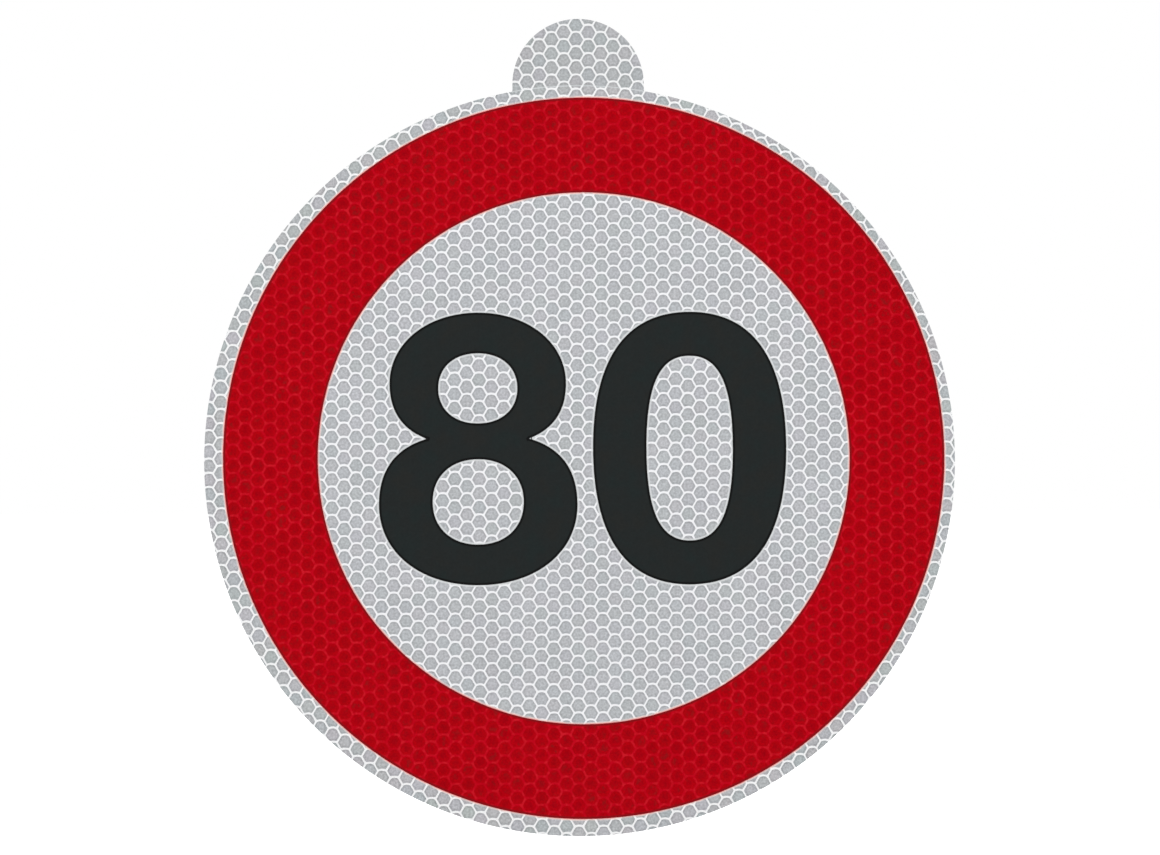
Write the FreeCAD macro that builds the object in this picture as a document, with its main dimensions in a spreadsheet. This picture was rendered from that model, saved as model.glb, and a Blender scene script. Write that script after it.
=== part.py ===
# Round speed limit sign with a half-round tab at its top.
# An aluminium plate carries a white honeycomb reflective sheeting cut to the same outline.
# A red border and the numerals 8 and 0 are films laid on the sheeting.
# Millimetres. +Z is up and the face looks along -Y.
# The origin is the disc's centre on the plate's back, where the sign is fixed.
import FreeCAD, Part
import math
import os

import Sketcher

doc = FreeCAD.newDocument("speed_limit_sign")

# Driving dimensions
dimensions = [
    ("discDiameter", 200.0, "diameter of the round face"),
    ("tabRadius", 17.5, "radius of the tab's round top, and half its width"),
    ("tabCentreRise", 0.25, "height of the tab's centre above the disc's rim"),
    ("footRadius", 0.4, "radius of the inner corners where the tab meets the disc"),
    ("plateThickness", 1.5, "aluminium plate"),
    ("plateEdgeRadius", 0.2, "rounding of the plate's rear edge from punching"),
    ("sheetingThickness", 0.4, "reflective sheeting with its adhesive"),
    ("scoreWidth", 0.5, "width of the scored line across the tab's foot"),
    ("scoreDepth", 0.15, "depth of the scored line"),
    ("whiteRim", 4.0, "sheeting left bare outside the red border"),
    ("borderWidth", 25.1, "width of the red border"),
    ("borderThickness", 0.1, "transparent red film"),
    ("printShift", 1.1, "border's centre to the right of the disc's centre"),
    ("printRise", 0.7, "border's centre above the disc's centre"),
    ("legendMargin", 5.7, "from the corners of the numerals' box to the red border"),
    ("legendShift", -0.3, "numerals' middle to the right of the border's centre"),
    ("legendRise", 2.6, "numerals' middle above the border's centre"),
    ("numeralThickness", 0.1, "opaque black film"),
]

# Proportions of the numerals, as shares of their height.
# A fullness says how far an oval's curves reach towards the corners of its box.
proportions = [
    ("numeralGapShare", 0.0598, "between the two numerals"),
    ("zeroWidthShare", 0.7084, "0: width"),
    ("zeroSideStrokeShare", 0.1947, "0: stroke at the sides"),
    ("zeroEndStrokeShare", 0.1596, "0: stroke at top and bottom"),
    ("zeroFullness", 0.657, "0: outer oval"),
    ("zeroCounterFullness", 0.689, "0: inner oval"),
    ("eightWidthShare", 0.7279, "8: width of the lower bowl"),
    ("eightUpperWidthShare", 0.6467, "8: width of the upper bowl"),
    ("eightSideStrokeShare", 0.1957, "8: stroke at the sides of the lower bowl"),
    ("eightUpperSideStrokeShare", 0.1771, "8: stroke at the sides of the upper bowl"),
    ("eightEndStrokeShare", 0.1475, "8: stroke at top and bottom"),
    ("eightBarShare", 0.13, "8: bar between the two counters"),
    ("eightBarHeightShare", 0.528, "8: middle of the bar above the foot"),
    ("eightLowerWidestShare", 0.295, "8: widest place of the lower bowl above the foot"),
    ("eightUpperWidestShare", 0.7407, "8: widest place of the upper bowl above the foot"),
    ("eightLowerReachShare", 0.028, "8: lower bowl's reach past the middle of the bar"),
    ("eightUpperReachShare", 0.0143, "8: upper bowl's reach past the middle of the bar"),
    ("eightLowerFullness", 0.589, "8: lower bowl below its widest place"),
    ("eightUpperFullness", 0.572, "8: upper bowl above its widest place"),
    ("eightLowerWaistFullness", 0.315, "8: lower bowl at the waist"),
    ("eightUpperWaistFullness", 0.28, "8: upper bowl at the waist"),
    ("eightSideFullness", 1.0, "8: both bowls, from the widest place towards the waist"),
    ("eightCounterFullness", 0.6, "8: both counters"),
]

sheet = doc.addObject("Spreadsheet::Sheet", "Sizes")
for row, (alias, number, note) in enumerate(dimensions + proportions, start=1):
    sheet.set(f"A{row}", alias)
    sheet.set(f"B{row}", str(number))
    sheet.set(f"C{row}", note)
    sheet.setAlias(f"B{row}", alias)
doc.recompute()

# A sketch numbers a curve's points and its own axes so, and its origin is the X axis's start
start, end, centre = range(1, 4)
xAxis = -1
yAxis = xAxis - 1
zDirection = FreeCAD.Vector(0, 0, 1)


def size(alias):
    return float(sheet.get(alias))


def originPart(body, role):
    return next(part for part in body.Origin.OriginFeatures if part.Role == role)


def addBody(label):
    body = doc.addObject("PartDesign::Body", label)
    body.Label = label
    return body


def addSketch(body, name, plane):
    sketch = body.newObject("Sketcher::SketchObject", name)
    sketch.AttachmentSupport = [(originPart(body, plane), "")]
    sketch.MapMode = "FlatFace"
    return sketch


def bindSize(sketch, name, kind, geometry, expression, value):
    """Adds a driven size to a sketch, where geometry is the constraint's elements."""
    index = sketch.addConstraint(Sketcher.Constraint(kind, *geometry, value))
    sketch.renameConstraint(index, name)
    sketch.setExpression(f"Constraints.{name}", expression)


def addOutline(body, name):
    """Outline of the sign seen from its face: the disc, its tab and the two corners between."""
    discRadius = size("discDiameter") / 2
    tabRadius = size("tabRadius")
    footRadius = size("footRadius")
    tabCentre = discRadius + size("tabCentreRise")
    footX = tabRadius + footRadius
    footZ = math.sqrt((discRadius + footRadius) ** 2 - footX ** 2)
    discAngle = math.atan2(footZ, footX)

    def point(x, z):
        return FreeCAD.Vector(x, z, 0)

    def arc(x, z, radius, fromAngle, toAngle):
        return Part.ArcOfCircle(Part.Circle(point(x, z), zDirection, radius), fromAngle, toAngle)

    sketch = addSketch(body, name, "XZ_Plane")
    disc = sketch.addGeometry(arc(0, 0, discRadius, math.pi - discAngle, 2 * math.pi + discAngle))
    rightFoot = sketch.addGeometry(arc(footX, footZ, footRadius, math.pi, math.pi + discAngle))
    rightSide = sketch.addGeometry(Part.LineSegment(point(tabRadius, footZ), point(tabRadius, tabCentre)))
    tab = sketch.addGeometry(arc(0, tabCentre, tabRadius, 0, math.pi))
    leftSide = sketch.addGeometry(Part.LineSegment(point(-tabRadius, tabCentre), point(-tabRadius, footZ)))
    leftFoot = sketch.addGeometry(arc(-footX, footZ, footRadius, -discAngle, 0))

    sketch.addConstraint([
        Sketcher.Constraint("Coincident", disc, centre, xAxis, start),
        Sketcher.Constraint("PointOnObject", tab, centre, yAxis),
        Sketcher.Constraint("Vertical", rightSide),
        Sketcher.Constraint("Vertical", leftSide),
        Sketcher.Constraint("Tangent", disc, end, rightFoot, end),
        Sketcher.Constraint("Tangent", rightFoot, start, rightSide, start),
        Sketcher.Constraint("Tangent", rightSide, end, tab, start),
        Sketcher.Constraint("Tangent", tab, end, leftSide, start),
        Sketcher.Constraint("Tangent", leftSide, end, leftFoot, end),
        Sketcher.Constraint("Tangent", leftFoot, start, disc, start),
        Sketcher.Constraint("Equal", rightFoot, leftFoot),
    ])
    bindSize(sketch, "discRadius", "Radius", (disc,), "Sizes.discDiameter / 2", discRadius)
    bindSize(sketch, "tabRadius", "Radius", (tab,), "Sizes.tabRadius", tabRadius)
    bindSize(sketch, "footRadius", "Radius", (rightFoot,), "Sizes.footRadius", footRadius)
    bindSize(sketch, "tabCentre", "DistanceY", (xAxis, start, tab, centre),
             "Sizes.discDiameter / 2 + Sizes.tabCentreRise", tabCentre)
    return sketch


def addPad(body, sketch, name, thickness):
    """Pad of a face sketch from the body's own XZ plane towards the viewer."""
    pad = body.newObject("PartDesign::Pad", name)
    pad.Profile = sketch
    pad.setExpression("Length", thickness)
    return pad


def makeBackingPlate():
    """Punched aluminium plate: its back lies on the XZ plane, its rear edge is rounded."""
    body = addBody("backing_plate")
    pad = addPad(body, addOutline(body, "plate_outline"), "plate_blank", "Sizes.plateThickness")
    doc.recompute()
    rearFace = max(pad.Shape.Faces, key=lambda face: face.CenterOfMass.y)
    rearEdges = [
        f"Edge{number}" for number, edge in enumerate(pad.Shape.Edges, start=1)
        if any(edge.isSame(rearEdge) for rearEdge in rearFace.Edges)
    ]
    rounding = body.newObject("PartDesign::Fillet", "punched_edge")
    rounding.Base = (pad, rearEdges)
    rounding.setExpression("Radius", "Sizes.plateEdgeRadius")
    body.Tip = rounding
    return body


def makeReflectiveSheeting():
    """White sheeting over the whole plate, scored along the disc's circle at the tab's foot."""
    body = addBody("reflective_sheeting")
    body.setExpression("Placement.Base.y", "-Sizes.plateThickness")
    pad = addPad(body, addOutline(body, "sheeting_outline"), "sheeting_blank", "Sizes.sheetingThickness")

    face = -size("sheetingThickness")
    radius = size("discDiameter") / 2
    halfWidth = size("scoreWidth") / 2
    corners = [
        FreeCAD.Vector(face, radius - halfWidth, 0),
        FreeCAD.Vector(face + size("scoreDepth"), radius, 0),
        FreeCAD.Vector(face, radius + halfWidth, 0),
    ]
    profile = addSketch(body, "score_profile", "YZ_Plane")
    lower = profile.addGeometry(Part.LineSegment(corners[0], corners[1]))
    upper = profile.addGeometry(Part.LineSegment(corners[1], corners[2]))
    mouth = profile.addGeometry(Part.LineSegment(corners[2], corners[0]))
    profile.addConstraint([
        Sketcher.Constraint("Coincident", lower, end, upper, start),
        Sketcher.Constraint("Coincident", upper, end, mouth, start),
        Sketcher.Constraint("Coincident", mouth, end, lower, start),
        Sketcher.Constraint("Vertical", mouth),
        Sketcher.Constraint("Equal", lower, upper),
    ])
    bindSize(profile, "face", "DistanceX", (lower, start, xAxis, start),
             "Sizes.sheetingThickness", -face)
    bindSize(profile, "radius", "DistanceY", (xAxis, start, lower, end),
             "Sizes.discDiameter / 2", radius)
    bindSize(profile, "width", "DistanceY", (mouth, end, mouth, start),
             "Sizes.scoreWidth", 2 * halfWidth)
    bindSize(profile, "depth", "DistanceX", (lower, start, lower, end),
             "Sizes.scoreDepth", size("scoreDepth"))

    score = body.newObject("PartDesign::Groove", "score")
    score.Profile = profile
    score.ReferenceAxis = (originPart(body, "Y_Axis"), [""])
    score.Midplane = True
    score.setExpression("Angle", "2 * asin(Sizes.tabRadius / (Sizes.discDiameter / 2))")
    body.Tip = score
    doc.recompute()
    if score.Shape.Volume >= pad.Shape.Volume:
        raise RuntimeError("the score cuts nothing from the sheeting")
    return body


def makeRedBorder():
    """Ring of transparent red film, laid a little off the disc's centre."""
    body = addBody("red_border")
    body.setExpression("Placement.Base.x", "Sizes.printShift")
    body.setExpression("Placement.Base.y", "-Sizes.plateThickness - Sizes.sheetingThickness")
    body.setExpression("Placement.Base.z", "Sizes.printRise")
    outerRadius = size("discDiameter") / 2 - size("whiteRim")
    innerRadius = outerRadius - size("borderWidth")
    sketch = addSketch(body, "border_outline", "XZ_Plane")
    outer = sketch.addGeometry(Part.Circle(FreeCAD.Vector(), zDirection, outerRadius))
    inner = sketch.addGeometry(Part.Circle(FreeCAD.Vector(), zDirection, innerRadius))
    sketch.addConstraint([
        Sketcher.Constraint("Coincident", outer, centre, xAxis, start),
        Sketcher.Constraint("Coincident", inner, centre, xAxis, start),
    ])
    bindSize(sketch, "outerRadius", "Radius", (outer,),
             "Sizes.discDiameter / 2 - Sizes.whiteRim", outerRadius)
    bindSize(sketch, "innerRadius", "Radius", (inner,),
             "Sizes.discDiameter / 2 - Sizes.whiteRim - Sizes.borderWidth", innerRadius)
    addPad(body, sketch, "border_film", "Sizes.borderThickness")
    return body


def numeralHeight():
    """Height at which the corners of the numerals' box keep their margin to the red border."""
    fieldRadius = size("discDiameter") / 2 - size("whiteRim") - size("borderWidth")
    legendShare = size("eightWidthShare") + size("numeralGapShare") + size("zeroWidthShare")
    return 2 * (fieldRadius - size("legendMargin")) / math.hypot(1, legendShare)


def numeralSize(name):
    """Size of a numeral's feature in millimetres, from its share of the height."""
    return size(name + "Share") * numeralHeight()


def legendHalfWidth():
    return (numeralSize("eightWidth") + numeralSize("numeralGap") + numeralSize("zeroWidth")) / 2


def ovalFace(x, widest, halfWidth, top, bottom, above, below):
    """Face of an oval of four curves. It is widest at the height given by widest.

    above and below hold the end and side fullness over and under that height.
    """
    def quarter(side, tip, fullness):
        endFullness, sideFullness = fullness
        return [
            FreeCAD.Vector(x, 0, tip),
            FreeCAD.Vector(x + side * endFullness * halfWidth, 0, tip),
            FreeCAD.Vector(x + side * halfWidth, 0, widest + sideFullness * (tip - widest)),
            FreeCAD.Vector(x + side * halfWidth, 0, widest),
        ]

    right, left = 1, -1
    edges = []
    for poles in (quarter(right, top, above), quarter(right, bottom, below)[::-1],
                  quarter(left, bottom, below), quarter(left, top, above)[::-1]):
        curve = Part.BezierCurve()
        curve.setPoles(poles)
        edges.append(curve.toShape())
    return Part.Face(Part.Wire(edges))


def addFilm(name, face):
    """Black film of one oval, extruded towards the viewer."""
    outline = doc.addObject("Part::Feature", name + "_outline")
    outline.Shape = face
    film = doc.addObject("Part::Extrusion", name)
    film.Base = outline
    film.DirMode = "Custom"
    film.Dir = FreeCAD.Vector(0, -1, 0)
    film.Solid = True
    film.setExpression("LengthFwd", "Sizes.numeralThickness")
    return film


def addBoolean(kind, name, base, tool):
    result = doc.addObject(kind, name)
    result.Base = base
    result.Tool = tool
    result.Refine = True
    return result


def placeNumeral(numeral):
    numeral.setExpression("Placement.Base.x", "Sizes.printShift + Sizes.legendShift")
    numeral.setExpression("Placement.Base.y", "-Sizes.plateThickness - Sizes.sheetingThickness")
    numeral.setExpression("Placement.Base.z", "Sizes.printRise + Sizes.legendRise")
    return numeral


def makeDigitEight():
    """Numeral 8: two bowls that cross at the waist, less two counters."""
    head = numeralHeight() / 2
    foot = -head
    halfWidth = numeralSize("eightWidth") / 2
    upperHalfWidth = numeralSize("eightUpperWidth") / 2
    x = halfWidth - legendHalfWidth()
    bar = foot + numeralSize("eightBarHeight")
    halfBar = numeralSize("eightBar") / 2
    endStroke = numeralSize("eightEndStroke")
    lowerWidest = foot + numeralSize("eightLowerWidest")
    upperWidest = foot + numeralSize("eightUpperWidest")
    sideFullness = size("eightSideFullness")

    free = [size("eightLowerFullness")] * 2
    waist = (size("eightLowerWaistFullness"), sideFullness)
    lowerTop = bar + numeralSize("eightLowerReach")
    lowerBowl = addFilm("eight_lower_bowl",
                        ovalFace(x, lowerWidest, halfWidth, lowerTop, foot, waist, free))

    free = [size("eightUpperFullness")] * 2
    waist = (size("eightUpperWaistFullness"), sideFullness)
    upperBottom = bar - numeralSize("eightUpperReach")
    upperBowl = addFilm("eight_upper_bowl",
                        ovalFace(x, upperWidest, upperHalfWidth, head, upperBottom, free, waist))

    counterFullness = [size("eightCounterFullness")] * 2

    def counter(name, top, bottom, counterHalfWidth):
        middle = (top + bottom) / 2
        return addFilm(name, ovalFace(x, middle, counterHalfWidth, top, bottom,
                                      counterFullness, counterFullness))

    lowerCounter = counter("eight_lower_counter", bar - halfBar, foot + endStroke,
                           halfWidth - numeralSize("eightSideStroke"))
    upperCounter = counter("eight_upper_counter", head - endStroke, bar + halfBar,
                           upperHalfWidth - numeralSize("eightUpperSideStroke"))

    bowls = addBoolean("Part::Fuse", "eight_bowls", lowerBowl, upperBowl)
    counters = addBoolean("Part::Fuse", "eight_counters", lowerCounter, upperCounter)
    return placeNumeral(addBoolean("Part::Cut", "digit_eight", bowls, counters))


def makeDigitZero():
    """Numeral 0: an oval less its counter."""
    head = numeralHeight() / 2
    halfWidth = numeralSize("zeroWidth") / 2
    x = legendHalfWidth() - halfWidth
    outerFullness = [size("zeroFullness")] * 2
    innerFullness = [size("zeroCounterFullness")] * 2
    counterHead = head - numeralSize("zeroEndStroke")
    counterHalfWidth = halfWidth - numeralSize("zeroSideStroke")
    oval = addFilm("zero_oval",
                   ovalFace(x, 0, halfWidth, head, -head, outerFullness, outerFullness))
    counter = addFilm("zero_counter",
                      ovalFace(x, 0, counterHalfWidth, counterHead, -counterHead,
                               innerFullness, innerFullness))
    return placeNumeral(addBoolean("Part::Cut", "digit_zero", oval, counter))


pieces = [
    makeBackingPlate(),
    makeReflectiveSheeting(),
    makeRedBorder(),
    makeDigitEight(),
    makeDigitZero(),
]
doc.recompute()

# Nothing is written unless every object is sound
for item in doc.Objects:
    if "Invalid" in item.State or "Error" in item.State:
        raise RuntimeError(f"{item.Label} did not build")
for piece in pieces:
    if piece.Shape.isNull() or not piece.Shape.isValid() or len(piece.Shape.Solids) != 1:
        raise RuntimeError(f"{piece.Label} is not one sound solid")

os.makedirs("parts", exist_ok=True)
for piece in pieces:
    piece.Shape.exportStep(f"parts/{piece.Label}.step")
    box = piece.Shape.BoundBox
    print(f"{piece.Label}: {piece.Shape.Volume:.1f} mm3, "
          f"x {box.XMin:.2f} to {box.XMax:.2f}, y {box.YMin:.2f} to {box.YMax:.2f}, "
          f"z {box.ZMin:.2f} to {box.ZMax:.2f}")
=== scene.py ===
import math

import bpy
import numpy as np
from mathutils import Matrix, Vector, kdtree
from mathutils.geometry import delaunay_2d_cdt


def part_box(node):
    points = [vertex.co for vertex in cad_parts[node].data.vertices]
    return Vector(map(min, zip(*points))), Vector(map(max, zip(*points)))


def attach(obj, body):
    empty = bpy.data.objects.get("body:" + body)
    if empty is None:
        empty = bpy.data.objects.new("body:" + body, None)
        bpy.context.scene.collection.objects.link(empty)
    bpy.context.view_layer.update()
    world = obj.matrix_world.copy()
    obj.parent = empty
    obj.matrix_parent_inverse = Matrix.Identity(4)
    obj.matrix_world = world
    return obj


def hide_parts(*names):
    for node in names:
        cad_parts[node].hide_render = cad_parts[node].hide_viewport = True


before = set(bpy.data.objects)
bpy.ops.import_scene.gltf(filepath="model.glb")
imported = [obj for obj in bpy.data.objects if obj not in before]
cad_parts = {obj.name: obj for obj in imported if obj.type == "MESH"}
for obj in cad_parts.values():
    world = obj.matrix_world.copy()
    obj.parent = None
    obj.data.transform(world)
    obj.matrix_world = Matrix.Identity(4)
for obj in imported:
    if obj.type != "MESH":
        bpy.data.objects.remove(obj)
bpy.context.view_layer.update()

# Plan measures below are in mm on the sign's face, x to the right and z up, as the CAD has them
mm = 0.001
scene = bpy.context.scene


# Camera, at the photograph's angle

view = {
    "distance": 2.0,         # m in front of the sign
    "fieldWidth": 0.30898,   # m of the sign's plane across the picture
    "aimX": 0.0001575,       # m on the sign's plane
    "aimZ": 0.0089066,
    "lean": 0.225,           # degrees that the sign leans to the left in the picture
    "sensor": 36,
    "nearest": 0.05,         # m, between these the camera sees
    "furthest": 60,
}


def makeCamera():
    data = bpy.data.cameras.new("camera")
    data.sensor_width = view["sensor"]
    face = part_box("reflective_sheeting")[0].y
    data.lens = data.sensor_width * (view["distance"] + face) / view["fieldWidth"]
    data.clip_start = view["nearest"]
    data.clip_end = view["furthest"]
    camera = bpy.data.objects.new("camera", data)
    camera.location = (view["aimX"], -view["distance"], view["aimZ"])
    camera.rotation_euler = (math.radians(90), math.radians(view["lean"]), 0)
    scene.collection.objects.link(camera)
    scene.camera = camera


makeCamera()
print("camera placed")


# Honeycomb, read by every layer so that its walls line up through the films

honeycomb = {
    "pitch": 3.7762,       # between the flats of one cell
    "stretch": 1.0014,     # the sheeting's columns lie a little further apart than its rows
    "originX": 2.758,      # centre of one cell
    "originZ": -3.01,
    "wallWidth": 0.51,
    "bow": 0.26,           # how far the level walls arch upwards
    "corner": 20,          # a lower power rounds the corners more
    "bevelWidth": 0.16,    # slope from a wall down to the cell's floor
    "ringPoints": 24,      # mesh points round one cell
    "floorTilt": 0.004,    # each floor leans a little its own way
    "tiltLimit": 0.2,      # as a share of the floor's depth
    "levelExtra": 0.09,    # by which the level walls look wider
    "softness": 0.12,      # over which a wall's colour fades
    "rimWidth": 0.66,      # painted shade: the cell's floor darker in a rim beside the walls
    "rimStart": 0.55,      # share of the rim where it starts to fade
    "driftScale": 0.09,    # lightness drifts over several cells
    "spareCells": 2,       # laid out beyond a piece on each side
}
sine60 = math.sqrt(3) / 2
halfSidesAcross = math.sqrt(12)    # half sides of a hexagon that make up its width between the flats
columnPitch = honeycomb["pitch"] * sine60
halfPitch = honeycomb["pitch"] / 2
halfSide = honeycomb["pitch"] / halfSidesAcross


def wrapped(value, reach):
    return (value + reach) % (2 * reach) - reach


def wallBow(x):
    across = wrapped(x, columnPitch / 2) / halfSide
    return honeycomb["bow"] * np.maximum(0, 1 - across ** 2)


# Size of the rounded hexagon through a point, measured from its centre to its flats
def hexagonSize(x, z):
    power = honeycomb["corner"]
    slant = sine60 * np.abs(x)
    half = np.abs(z) / 2
    total = np.abs(z) ** power + (slant + half) ** power + np.abs(slant - half) ** power
    return total ** (1 / power)


# Where each point lies in its own cell: place from the cell's centre, the cell's number,
# and distance inwards from the middle of the wall
def cellPlace(points):
    x = (points[:, 0] - honeycomb["originX"]) / honeycomb["stretch"]
    z = points[:, 1] - honeycomb["originZ"]
    z = z - wallBow(x)
    places = []
    for shiftX, shiftZ in ((0, 0), (columnPitch, halfPitch)):
        localX = wrapped(x - shiftX, columnPitch)
        localZ = wrapped(z - shiftZ, halfPitch)
        places.append((hexagonSize(localX, localZ), localX, localZ))
    second = places[0][0] > places[1][0]
    size, localX, localZ = [np.where(second, b, a) for a, b in zip(*places)]
    column = np.round((x - localX) / columnPitch)
    row = np.round((z - localZ) / halfPitch)
    return localX, localZ, column, row, halfPitch - size


scatterSteps = (12.9898, 78.233, 37.719)    # far from round, so that no pattern shows
scatterGain = 43758.5453


# A number from -1 to 1, always the same for one cell and seed
def scatter(column, row, seed):
    turn = column * scatterSteps[0] + row * scatterSteps[1] + seed * scatterSteps[2]
    return (np.sin(turn) * scatterGain) % 1 * 2 - 1


# How far the surface lies behind the walls' tops
def cellRecess(points, depth):
    localX, localZ, column, row, inward = cellPlace(points)
    share = np.clip((inward - honeycomb["wallWidth"] / 2) / honeycomb["bevelWidth"], 0, 1)
    tilt = localX * scatter(column, row, 1) + localZ * scatter(column, row, 2)
    limit = honeycomb["tiltLimit"] * depth
    return share * (depth + np.clip(tilt * honeycomb["floorTilt"], -limit, limit))


# Numbers of the columns or rows that cover a stretch
def cellNumbers(low, high, origin, step):
    spare = honeycomb["spareCells"]
    return range(math.floor((low - origin) / step) - spare, math.ceil((high - origin) / step) + spare + 1)


# Mesh points of all cells in a box: a ring at each wall's top, a ring at the slope's foot, and the centre
def cellPoints(low, high):
    angles = np.arange(honeycomb["ringPoints"]) * 2 * math.pi / honeycomb["ringPoints"]
    unit = hexagonSize(np.cos(angles), np.sin(angles))
    wallTop = honeycomb["wallWidth"] / 2
    found = []
    for column in cellNumbers(low[0], high[0], honeycomb["originX"], columnPitch):
        for row in cellNumbers(low[1], high[1], honeycomb["originZ"], honeycomb["pitch"]):
            centreX = column * columnPitch
            centreZ = (row + (column % 2) / 2) * honeycomb["pitch"]
            for inward in (wallTop, wallTop + honeycomb["bevelWidth"]):
                radius = (halfPitch - inward) / unit
                found.append(np.stack([centreX + radius * np.cos(angles),
                                       centreZ + radius * np.sin(angles)], axis=1))
            found.append(np.array([[centreX, centreZ]]))
    points = np.concatenate(found)
    points[:, 1] += wallBow(points[:, 0])
    return points * (honeycomb["stretch"], 1) + (honeycomb["originX"], honeycomb["originZ"])


# Outlines on the face. Those round a piece run anticlockwise, those round a hole clockwise

outline = {
    "tabRadius": 17.5,
    "footRadius": 0.4,       # small corners where the tab meets the disc
    "borderWidth": 25.1,
    "spacing": 0.34,         # between the points along an edge
    "sharpTurn": 15,         # degrees; a numeral's smaller turns are rounded
    "edgeBand": 0.7,         # width of the lines that run along the films' edges
    "edgeSteps": 4,          # parts of each stretch that distances are measured to
    "edgeGap": 0.2,          # mesh points keep this far from an edge
    "bandGap": 0.12,         # and this far from the other side of its band
    "levelWithin": 1e-6,     # m; a CAD face's points this near its front lie on it
    "placeDigits": 3,        # CAD points that agree to these digits are one
}
plateLow, plateHigh = [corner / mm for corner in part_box("backing_plate")]
discRadius = (plateHigh.x - plateLow.x) / 2
tabCentre = plateHigh.z - outline["tabRadius"]
borderLow, borderHigh = [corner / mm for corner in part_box("red_border")]
borderCentre = ((borderLow.x + borderHigh.x) / 2, (borderLow.z + borderHigh.z) / 2)
borderOuter = (borderHigh.x - borderLow.x) / 2
borderInner = borderOuter - outline["borderWidth"]


def arc(centreX, centreZ, radius, start, end):
    count = max(3, round(abs(end - start) * radius / outline["spacing"]))
    angles = np.linspace(start, end, count, endpoint=False)
    return np.stack([centreX + radius * np.cos(angles), centreZ + radius * np.sin(angles)], axis=1)


def straight(start, end):
    count = max(1, round(math.dist(start, end) / outline["spacing"]))
    share = np.linspace(0, 1, count, endpoint=False)[:, None]
    return np.array(start) * (1 - share) + np.array(end) * share


def signOutline():
    tabRadius = outline["tabRadius"]
    footRadius = outline["footRadius"]
    footX = tabRadius + footRadius
    footZ = math.sqrt((discRadius + footRadius) ** 2 - footX ** 2)
    turn = math.atan2(footZ, footX)
    return np.concatenate([
        arc(0, 0, discRadius, math.pi - turn, 2 * math.pi + turn),
        arc(footX, footZ, footRadius, math.pi + turn, math.pi),
        straight((tabRadius, footZ), (tabRadius, tabCentre)),
        arc(0, tabCentre, tabRadius, 0, math.pi),
        straight((-tabRadius, tabCentre), (-tabRadius, footZ)),
        arc(-footX, footZ, footRadius, 0, -turn),
    ])


def signedArea(loop):
    following = np.roll(loop, -1, axis=0)
    return np.sum(loop[:, 0] * following[:, 1] - following[:, 0] * loop[:, 1]) / 2


# A CAD node's outlines on its front face, largest first
def nodeLoops(node):
    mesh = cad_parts[node].data
    front = min(vertex.co.y for vertex in mesh.vertices)
    places = {}
    names = []
    for vertex in mesh.vertices:
        key = tuple(round(value / mm, outline["placeDigits"]) for value in vertex.co)
        names.append(places.setdefault(key, len(places)))
    corners = list(places)
    edges = {}
    for face in mesh.polygons:
        if all(abs(mesh.vertices[i].co.y - front) < outline["levelWithin"] for i in face.vertices):
            ring = [names[i] for i in face.vertices]
            for a, b in zip(ring, ring[1:] + ring[:1]):
                key = (min(a, b), max(a, b))
                edges[key] = None if key in edges else (a, b)
    following = {a: b for a, b in filter(None, edges.values())}
    loops = []
    while following:
        start = next(iter(following))
        ring = []
        while start in following:
            ring.append(corners[start])
            start = following.pop(start)
        loops.append(np.array(ring)[:, [0, 2]])
    loops.sort(key=lambda loop: -abs(signedArea(loop)))
    return loops


# Divides an outline finely along a smooth curve, and keeps its sharp corners
def refined(loop):
    incoming = loop - np.roll(loop, 1, axis=0)
    outgoing = np.roll(loop, -1, axis=0) - loop
    turn = np.abs(np.arctan2(incoming[:, 0] * outgoing[:, 1] - incoming[:, 1] * outgoing[:, 0],
                             np.sum(incoming * outgoing, axis=1)))
    sharp = (turn > math.radians(outline["sharpTurn"]))[:, None]
    lengthIn = np.linalg.norm(incoming, axis=1)[:, None]
    lengthOut = np.linalg.norm(outgoing, axis=1)[:, None]
    slope = (incoming / lengthIn * lengthOut + outgoing / lengthOut * lengthIn) / (lengthIn + lengthOut)
    points = []
    for i in range(len(loop)):
        nextOne = (i + 1) % len(loop)
        span = lengthOut[i]
        leave = outgoing[i] if sharp[i] else slope[i] * span
        arrive = outgoing[i] if sharp[nextOne] else slope[nextOne] * span
        count = max(1, math.ceil(span[0] / outline["spacing"]))
        t = np.arange(count)[:, None] / count
        points.append((2 * t ** 3 - 3 * t ** 2 + 1) * loop[i] + (t ** 3 - 2 * t ** 2 + t) * leave
                      + (3 * t ** 2 - 2 * t ** 3) * loop[nextOne] + (t ** 3 - t ** 2) * arrive)
    return np.concatenate(points)


# The first loop goes round the piece and the rest round its holes
def pieceLoops(loops):
    return [loop if (signedArea(loop) > 0) == (index == 0) else loop[::-1].copy()
            for index, loop in enumerate(loops)]


def insideLoop(points, loop):
    inside = np.zeros(len(points), bool)
    low = loop.min(axis=0)
    high = loop.max(axis=0)
    near = np.where(np.all((points >= low) & (points <= high), axis=1))[0]
    x, z = points[near].T
    crossed = np.zeros(len(near), bool)
    for (ax, az), (bx, bz) in zip(loop, np.roll(loop, -1, axis=0)):
        if az != bz:
            crossed ^= ((az > z) != (bz > z)) & (x < (bx - ax) * (z - az) / (bz - az) + ax)
    inside[near] = crossed
    return inside


# Inside the first loop and outside the rest
def insidePiece(points, loops):
    inside = insideLoop(points, loops[0])
    for hole in loops[1:]:
        inside &= ~insideLoop(points, hole)
    return inside


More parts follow.
